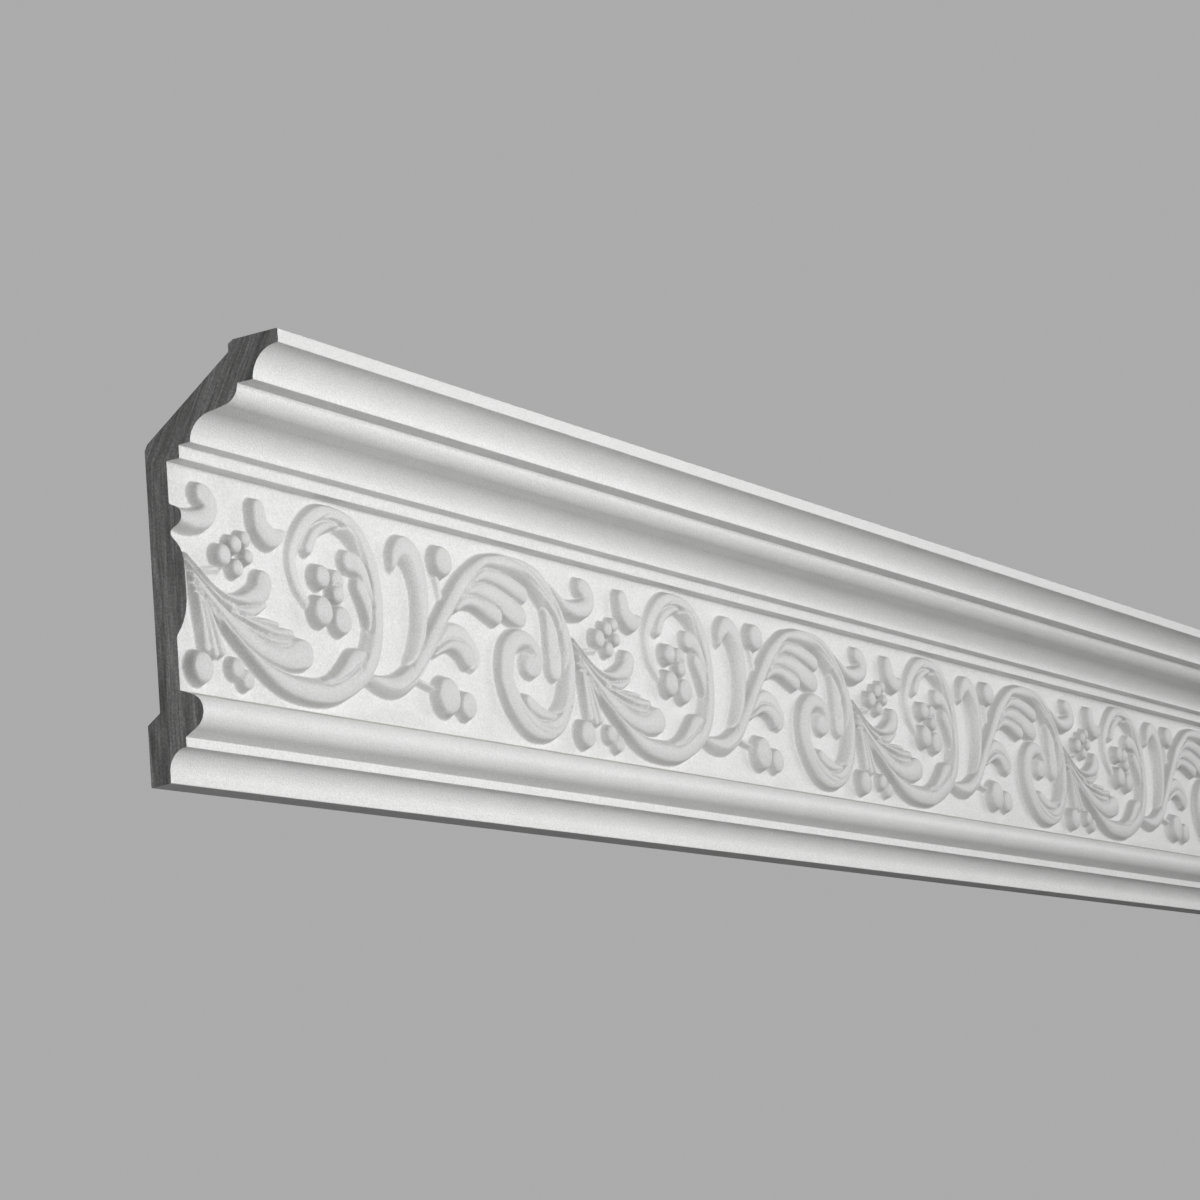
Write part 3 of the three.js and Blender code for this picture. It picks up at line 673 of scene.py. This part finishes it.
def add_node(tree, kind, inputs=None, **settings):
    """A node with its settings, its inputs' values and the sockets that feed them."""
    node = tree.nodes.new(kind)
    for name, value in settings.items():
        setattr(node, name, value)
    for name, value in (inputs or {}).items():
        if isinstance(value, bpy.types.NodeSocket):
            tree.links.new(value, node.inputs[name])
        else:
            node.inputs[name].default_value = value
    return node


def spread(tree, value, low, high, start=0.0, stop=1.0):
    """The value's range, from start to stop, laid over the one from low to high."""
    inputs = {"Value": value, "From Min": start, "From Max": stop, "To Min": low, "To Max": high}
    return add_node(tree, "ShaderNodeMapRange", inputs, clamp=True).outputs["Result"]


def maths(tree, operation, *values):
    """What a sum, product or the like gives for values and sockets."""
    inputs = dict(enumerate(values))
    return add_node(tree, "ShaderNodeMath", inputs, operation=operation).outputs[0]


def noise(tree, place, scale, detail, roughness):
    """A soft random pattern from 0 to 1, with as many waves a metre as its scale."""
    inputs = {"Vector": place, "Scale": scale, "Detail": detail, "Roughness": roughness}
    return add_node(tree, "ShaderNodeTexNoise", inputs).outputs["Fac"]


def shade(tree, colour, factor):
    """The colour, made darker or lighter by a factor that changes over the surface."""
    return add_node(tree, "ShaderNodeVectorMath", {0: colour, "Scale": factor},
                    operation="SCALE").outputs["Vector"]


def grain_group():
    """Sand-like grain: each spot's height, and a slow mottling, both from 0 to 1."""
    group = bpy.data.node_groups.new("sandy grain", "ShaderNodeTree")
    fineness = group.interface.new_socket("Fineness", in_out="INPUT",
                                          socket_type="NodeSocketFloat")
    fineness.default_value = 1
    for name in ("Height", "Mottle"):
        group.interface.new_socket(name, in_out="OUTPUT", socket_type="NodeSocketFloat")
    entry = add_node(group, "NodeGroupInput")
    place = add_node(group, "ShaderNodeTexCoord").outputs["Object"]
    scaled = add_node(group, "ShaderNodeVectorMath",
                      {0: place, "Scale": entry.outputs["Fineness"]}, operation="SCALE")
    grains = noise(group, scaled.outputs["Vector"], *GRAINS)
    patches = noise(group, scaled.outputs["Vector"], *PATCHES)
    add_node(group, "NodeGroupOutput", {"Height": grains, "Mottle": patches})
    return group


def grain(tree, fineness):
    """The sandy grain in a material, finer or coarser than the primed face's."""
    return add_node(tree, "ShaderNodeGroup", {"Fineness": fineness}, node_tree=sandy).outputs


def new_material(name):
    """A material with its node tree and its shader."""
    material = bpy.data.materials.new(name)
    material.use_nodes = True
    tree = material.node_tree
    return material, tree, tree.nodes["Principled BSDF"]


def bump(tree, shader, height, depth):
    """Lets a height from 0 to 1 stand up to that many millimetres out of the surface."""
    bumps = add_node(tree, "ShaderNodeBump", {"Height": height, "Distance": depth * MM})
    tree.links.new(bumps.outputs["Normal"], shader.inputs["Normal"])


def cast_white():
    """The primed face: matt white with a sandy grain, and painted shade on the leaves' backs and
    steep sides.
    """
    material, tree, shader = new_material("cast white")
    grained = grain(tree, 1)
    grey = add_node(tree, "ShaderNodeAttribute", attribute_name="grey").outputs["Fac"]
    mottled = shade(tree, WHITE, spread(tree, grained["Mottle"], *WHITE_MOTTLE))
    speckles = spread(tree, grained["Height"], *WHITE_SPECKLE, *NOISE_RANGE)
    speckled = shade(tree, mottled, speckles)
    # painted shade: the grey attribute paints the leaves' backs and steep sides darker
    with_painted_shade = shade(tree, speckled, spread(tree, grey, 1, 0))
    tree.links.new(with_painted_shade, shader.inputs["Base Color"])
    gloss = spread(tree, grained["Height"], *WHITE_ROUGHNESS)
    tree.links.new(gloss, shader.inputs["Roughness"])
    bump(tree, shader, grained["Height"], WHITE_DEPTH)
    return material


def raw_back():
    """The glued sides: bare casting, coarser and a little duller than the primed face."""
    material, tree, shader = new_material("raw back")
    grained = grain(tree, RAW_FINENESS)
    mottled = shade(tree, RAW_WHITE, spread(tree, grained["Mottle"], *RAW_MOTTLE))
    pitted = shade(tree, mottled, spread(tree, grained["Height"], *RAW_PITS))
    tree.links.new(pitted, shader.inputs["Base Color"])
    shader.inputs["Roughness"].default_value = RAW_ROUGHNESS
    bump(tree, shader, grained["Height"], RAW_DEPTH)
    return material


def cut_foam():
    """The sawn end: dull dense foam, streaked along the frieze's back and up the slant."""
    material, tree, shader = new_material("cut foam")
    grained = grain(tree, FOAM_FINENESS)
    place = add_node(tree, "ShaderNodeTexCoord").outputs["Object"]
    at = add_node(tree, "ShaderNodeSeparateXYZ", {0: place}).outputs
    above = maths(tree, "SUBTRACT", at["Z"], (STREAKS_BEND - WALL_STRIP_HEIGHT / 2) * MM)
    bent = maths(tree, "MAXIMUM", above, 0.0)
    across = maths(tree, "MULTIPLY_ADD", bent, STREAKS_LEAN, at["Y"])
    slower = maths(tree, "MULTIPLY", at["Z"], STREAKS_STRETCH)
    flow = add_node(tree, "ShaderNodeCombineXYZ",
                    {"X": at["X"], "Y": across, "Z": slower}).outputs["Vector"]
    streaks = spread(tree, noise(tree, flow, *STREAKS), *FOAM_STREAKS, *NOISE_RANGE)
    threads = spread(tree, noise(tree, flow, *THREADS), *FOAM_THREADS, *NOISE_RANGE)
    speckles = spread(tree, grained["Height"], *FOAM_SPECKLE, *NOISE_RANGE)
    colour = shade(tree, shade(tree, shade(tree, FOAM, streaks), threads), speckles)
    tree.links.new(colour, shader.inputs["Base Color"])
    shader.inputs["Roughness"].default_value = FOAM_ROUGHNESS
    bump(tree, shader, grained["Height"], FOAM_DEPTH)
    return material


def floor_paint():
    """Pale grey that is seen as evenly lit, and sends no more light up than the lamps give it."""
    material, tree, shader = new_material("pale floor")
    shader.inputs["Base Color"].default_value = (FLOOR_GREY, FLOOR_GREY, FLOOR_GREY, 1)
    shader.inputs["Roughness"].default_value = FLOOR_ROUGHNESS
    shader.inputs["Emission Color"].default_value = (1, 1, 1, 1)
    seen = add_node(tree, "ShaderNodeLightPath").outputs["Is Camera Ray"]
    tree.links.new(spread(tree, seen, 0, FLOOR_GLOW), shader.inputs["Emission Strength"])
    return material


def camera():
    """The photograph's viewpoint: low, near the cut end, looking along the run and up."""
    eye = bpy.data.objects.new("camera", bpy.data.cameras.new("camera"))
    bpy.context.scene.collection.objects.link(eye)
    heading, pitch = math.radians(EYE_HEADING), math.radians(EYE_PITCH)
    lean = Matrix.Rotation(math.radians(EYE_ROLL), 4, "Z")
    ahead = Vector((math.sin(heading) * math.cos(pitch), math.cos(heading) * math.cos(pitch),
                    math.sin(pitch)))
    turn = ahead.to_track_quat("-Z", "Y").to_matrix().to_4x4() @ lean
    eye.matrix_world = Matrix.Translation(EYE_PLACE) @ turn
    eye.data.lens = EYE_LENS
    eye.data.sensor_width = EYE_SENSOR
    eye.data.clip_start = EYE_CLIP_START
    bpy.context.scene.camera = eye


def soft_light(name, place, aim, size, power):
    """A round area light, placed and aimed in metres."""
    data = bpy.data.lights.new(name, "AREA")
    data.shape = "DISK"
    data.size = size
    data.energy = power
    lamp = bpy.data.objects.new(name, data)
    bpy.context.scene.collection.objects.link(lamp)
    lamp.location = place
    lamp.rotation_euler = (Vector(aim) - Vector(place)).to_track_quat("-Z", "Y").to_euler()


def studio():
    """Soft light in front of the frieze and behind it, above a pale floor, before plain grey."""
    for name, (place, aim, size, power) in LAMPS.items():
        soft_light(name, place, aim, size, power)
    world = bpy.data.worlds.new("grey")
    world.use_nodes = True
    tree = world.node_tree
    seen = add_node(tree, "ShaderNodeLightPath").outputs["Is Camera Ray"]
    grey = spread(tree, seen, AMBIENT, BACKDROP)
    tree.links.new(grey, tree.nodes["Background"].inputs["Color"])
    bpy.context.scene.world = world
    bpy.context.scene.view_settings.view_transform = "Standard"
    corners = [(x * FLOOR_REACH, y * FLOOR_REACH, -FLOOR_DEPTH)
               for x, y in ((-1, -1), (1, -1), (1, 1), (-1, 1))]
    floor = new_object("floor", corners, [(0, 1, 2, 3)])
    floor.data.materials.append(floor_paint())


piece = closed_piece(carved_sheet(carve()))
dress_normals(piece)
sandy = grain_group()
for finish in (cast_white(), cut_foam(), raw_back()):
    piece.data.materials.append(finish)
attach(piece, "root")
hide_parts(NODE)
camera()
studio()
